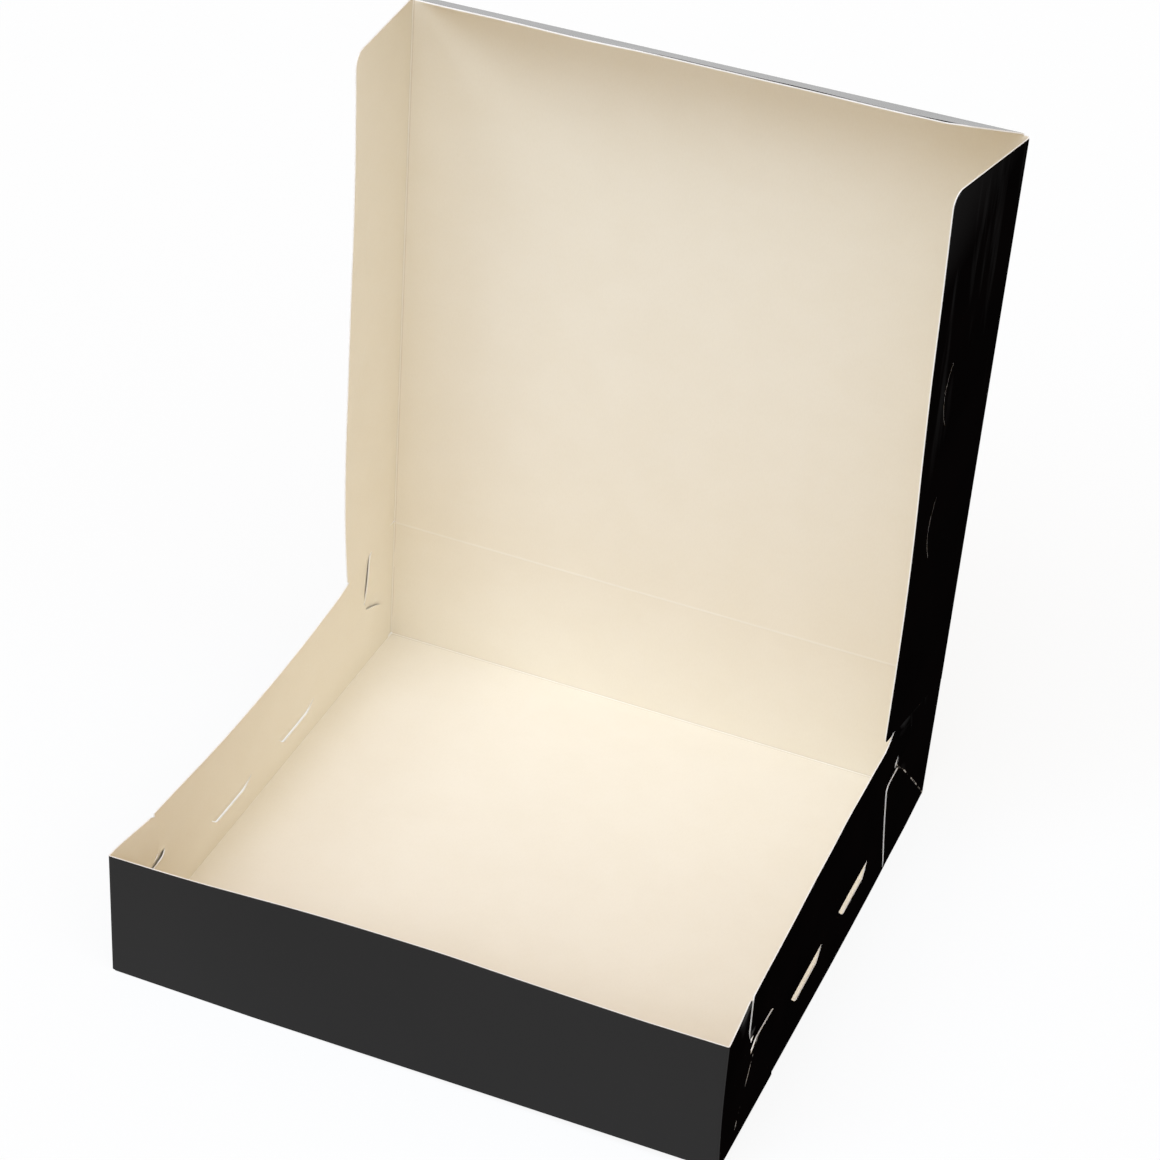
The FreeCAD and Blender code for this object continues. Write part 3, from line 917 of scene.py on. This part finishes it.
def cream_board():
    """Bare pulp: pale cream, matt, faintly fibrous and cloudy, with a bead along each crease. A
    paler cream is painted on the bead's crest as a highlight, and a brown in two thin lines beside
    it as shade.
    """
    material, tree, shader = new_material("cream_board")
    grain = use_group(tree, pulp, Fibre_Scale=1400.0, Cloud_Scale=45.0)
    line = use_group(tree, bead, Half_Width=0.9)
    clouds = remap(tree, grain["Clouds"], 0.3, 0.7)
    colour = mix_colour(tree, clouds, (0.887, 0.824, 0.688, 1), (0.897, 0.836, 0.704, 1))
    fibre = remap(tree, grain["Fibres"], 0.35, 0.75, 0.0, 0.04)
    colour = mix_colour(tree, fibre, colour, (0.62, 0.50, 0.34, 1))
    # Painted highlight: a paler cream along the crest of each crease's bead.
    light = math_node(tree, "MULTIPLY", line["Height"], 0.45)
    colour = mix_colour(tree, light, colour, (0.97, 0.94, 0.86, 1))
    # Painted shade: a brown in two thin lines beside each crease's bead.
    shade = math_node(tree, "MULTIPLY", line["Painted Shade"], 0.24)
    colour = mix_colour(tree, shade, colour, (0.42, 0.33, 0.20, 1))
    fine = bump(tree, grain["Fibres"], 0.12, 0.0001)
    ridge = bump(tree, line["Height"], 0.5, 0.00018, [("Normal", fine)])
    feed_board(tree, shader, grain["Fibres"], colour, (0.72, 0.86), 0.25, ridge)
    return material


def black_board():
    """Black print under a satin varnish. The coat shines where it is seen square on, is deep black
    at a slant and has a bright sheen along the very skim of the surface. The slanting crease of
    each ear has cracked the print, so dashes of white board show."""
    material, tree, shader = new_material("black_board")
    grain = use_group(tree, pulp, Fibre_Scale=700.0, Cloud_Scale=25.0)
    ink = mix_colour(tree, remap(tree, grain["Clouds"], 0.35, 0.65),
                     (0.0007, 0.0003, 0.0003, 1), (0.0012, 0.0006, 0.0006, 1))
    away = add(tree, "ShaderNodeAttribute", attribute_name="gusset").outputs["Fac"]
    near = remap(tree, math_node(tree, "ABSOLUTE", away), 0.18, 0.42, 1.0, 0.0)
    breaks = use_group(tree, pulp, Fibre_Scale=700.0, Cloud_Scale=140.0)["Clouds"]
    crack = math_node(tree, "MULTIPLY", near, remap(tree, breaks, 0.49, 0.55))
    colour = mix_colour(tree, crack, ink, (0.42, 0.40, 0.37, 1))
    slant = add(tree, "ShaderNodeLayerWeight", [("Blend", 0.5)]).outputs["Facing"]
    gloss = add(tree, "ShaderNodeValToRGB", [("Fac", slant)])
    stops = gloss.color_ramp.elements
    stops[0].position, stops[0].color = 0.40, (0.60, 0.60, 0.60, 1)
    stops[1].position, stops[1].color = 1.0, (1, 1, 1, 1)
    for position, level in ((0.62, 0.006), (0.85, 0.002), (0.915, 0.60), (0.94, 0.86)):
        stops.new(position).color = (level, level, level, 1)
    streak = use_group(tree, streaks, Strength=0.08)["Streaks"]
    streak = math_node(tree, "MULTIPLY", streak, remap(tree, slant, 0.58, 0.70, 1.0, 0.0))
    coat = math_node(tree, "MAXIMUM", gloss.outputs["Color"], streak)
    skin = bump(tree, grain["Fibres"], 0.05, 0.0001)
    feed_board(tree, shader, grain["Fibres"], colour, (0.50, 0.62), 0.0, skin,
               [("Coat Weight", coat), ("Coat Roughness", 0.22), ("Coat IOR", 1.5)])
    return material


def raw_edge():
    """Cut edge of the board: layered white pulp, slightly fuzzy."""
    material, tree, shader = new_material("raw_edge")
    grain = use_group(tree, pulp, Fibre_Scale=2600.0, Cloud_Scale=160.0)
    colour = mix_colour(tree, remap(tree, grain["Clouds"], 0.3, 0.7),
                        (0.93, 0.91, 0.86, 1), (0.99, 0.97, 0.93, 1))
    fuzz = bump(tree, grain["Fibres"], 0.3, 0.0001)
    feed_board(tree, shader, grain["Fibres"], colour, (0.80, 0.95), 0.2, fuzz)
    return material


finishes = [black_board(), cream_board(), raw_edge()]
all_pieces = (tray_base, front_wall, left_wall, right_wall, lid_sheet, tuck_sheet, hinge_crease,
              tuck_crease)
for piece in all_pieces:
    thicken(piece, finishes)
print("finishes:", [material.name for material in finishes])

# %% [markdown]
# What moves with what. The walls belong to the tray, the lid's sheet to the lid and the tuck flap's
# sheet to the tuck flap. The two crease strips are left where they stand, with no body.

# %% Bodies
def wall_plane(side):
    """Outward direction and a point of the plane through a side wall's settled corners."""
    front, rear = (side * HALF + (CORNER_SHIFT[side, end, 0][0] + CORNER_SHIFT[side, end, 1][0]) / 2
                   for end in (-1, 1))
    return (side, side * (front - rear) / (2 * HALF), 0), (front * MM, -HALF * MM, 0)


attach(tray_base, "tray")
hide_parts("tray")
for wall, (out, point) in ((left_wall, wall_plane(-1)), (right_wall, wall_plane(1)),
                           (front_wall, ((0, -1, 0), (0, -HALF * MM, 0)))):
    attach(wall, "tray")
    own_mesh(wall)
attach(lid_sheet, "lid")
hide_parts("lid")
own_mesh(lid_sheet)
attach(tuck_sheet, "tuck_flap")
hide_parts("tuck_flap")
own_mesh(tuck_sheet)
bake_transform(hinge_crease)
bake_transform(tuck_crease)

# %% [markdown]
# Stage: a pale floor under soft studio light. The floor and the world look plain white, and the
# floor still takes the box's shadow.

# %% Floor and light
WHITE_SHARE = 0.86  # how much of the floor is plain white, not paint
FLOOR_HALF, FLOOR_DROP = 30.0, 0.0002  # in metres; the drop keeps it under the board


def floor_material():
    """Pale floor: mostly plain white to the camera and in mirrors, with matt paint for the rest,
    which keeps the shadow."""
    material, tree, shader = new_material("studio_floor")
    feed(tree, shader, [("Base Color", (0.90, 0.96, 0.99, 1)), ("Roughness", 0.9),
                        ("Specular IOR Level", 0.0)])
    glow = add(tree, "ShaderNodeEmission", [("Color", (1, 1, 1, 1)), ("Strength", 1.02)])
    share = math_node(tree, "MULTIPLY", plain_rays(tree), WHITE_SHARE)
    mixed = add(tree, "ShaderNodeMixShader", [(0, share), (1, shader.outputs["BSDF"]),
                                              (2, glow.outputs["Emission"])])
    feed(tree, tree.nodes["Material Output"], [("Surface", mixed.outputs["Shader"])])
    return material


def make_floor():
    """One large square, level with the table."""
    mesh = bpy.data.meshes.new("floor")
    corners = [(x * FLOOR_HALF, y * FLOOR_HALF, 0) for x, y in ((-1, -1), (1, -1), (1, 1), (-1, 1))]
    mesh.from_pydata(corners, [], [(0, 1, 2, 3)])
    mesh.materials.append(floor_material())
    floor = new_object("floor", mesh)
    floor.location.z = -FLOOR_DROP


def make_world(colour):
    """White to the camera and in mirrors, an even warm light for everything else."""
    world = bpy.data.worlds.new("studio")
    bpy.context.scene.world = world
    world.use_nodes = True
    tree = world.node_tree
    light = mix_colour(tree, plain_rays(tree), (*colour, 1), (1, 1, 1, 1))
    feed(tree, tree.nodes["Background"], [("Color", light)])


def add_sun(name, towards, level, colour, softness):
    """Sun that lights a square-on white surface to the level, spread over an angle in degrees."""
    data = bpy.data.lights.new(name, "SUN")
    data.energy = math.pi * level
    data.color = colour
    data.angle = math.radians(softness)
    new_object(name, data).rotation_euler = Vector(towards).to_track_quat("-Z", "Y").to_euler()


make_floor()
make_world((0.34, 0.19, 0.03))
add_sun("top", (0.10, 0.30, -0.95), 0.258, (0.69, 0.77, 1.0), 30)
add_sun("front", (0.0, 0.707, -0.707), 0.233, (0.66, 0.81, 1.0), 30)
add_sun("right", (-0.64, 0.42, -0.64), 0.348, (0.76, 0.87, 1.0), 70)
add_sun("left", (0.50, 0.60, -0.64), 0.281, (0.69, 0.82, 1.0), 30)

# %% [markdown]
# Camera: above and to the right of the front, with a long lens, so upright edges look parallel.

# %% Camera
LENS, SENSOR = 97.25, 36.0
CAMERA_TURNS = (19.9225, 34.6241, 4.5397)  # round to the right, up, and roll, in degrees
CAMERA_TARGET, CAMERA_DISTANCE = np.array([8.427, 0.0, 149.115]), 1179.57


def make_camera():
    """Camera on a sphere round its target, rolled about its own line of sight."""
    a, e, r = map(math.radians, CAMERA_TURNS)
    back = np.array([math.sin(a) * math.cos(e), -math.cos(a) * math.cos(e), math.sin(e)])
    level = np.cross(-back, (0, 0, 1))
    level /= np.linalg.norm(level)
    up = np.cross(level, -back)
    right = level * math.cos(r) + up * math.sin(r)
    top = -level * math.sin(r) + up * math.cos(r)
    data = bpy.data.cameras.new("camera")
    data.lens, data.sensor_width = LENS, SENSOR
    data.clip_start, data.clip_end = 0.05, 100.0
    place = (CAMERA_TARGET + CAMERA_DISTANCE * back) * MM
    camera = new_object("camera", data)
    camera.matrix_world = [(*right, 0), (*top, 0), (*back, 0), (*place, 1)]
    bpy.context.scene.camera = camera


make_camera()
bpy.context.scene.view_settings.view_transform = "Standard"
print("camera:", CAMERA_DISTANCE, "mm away, turned", CAMERA_TURNS)

# %% Final update of the scene
bpy.context.view_layer.update()
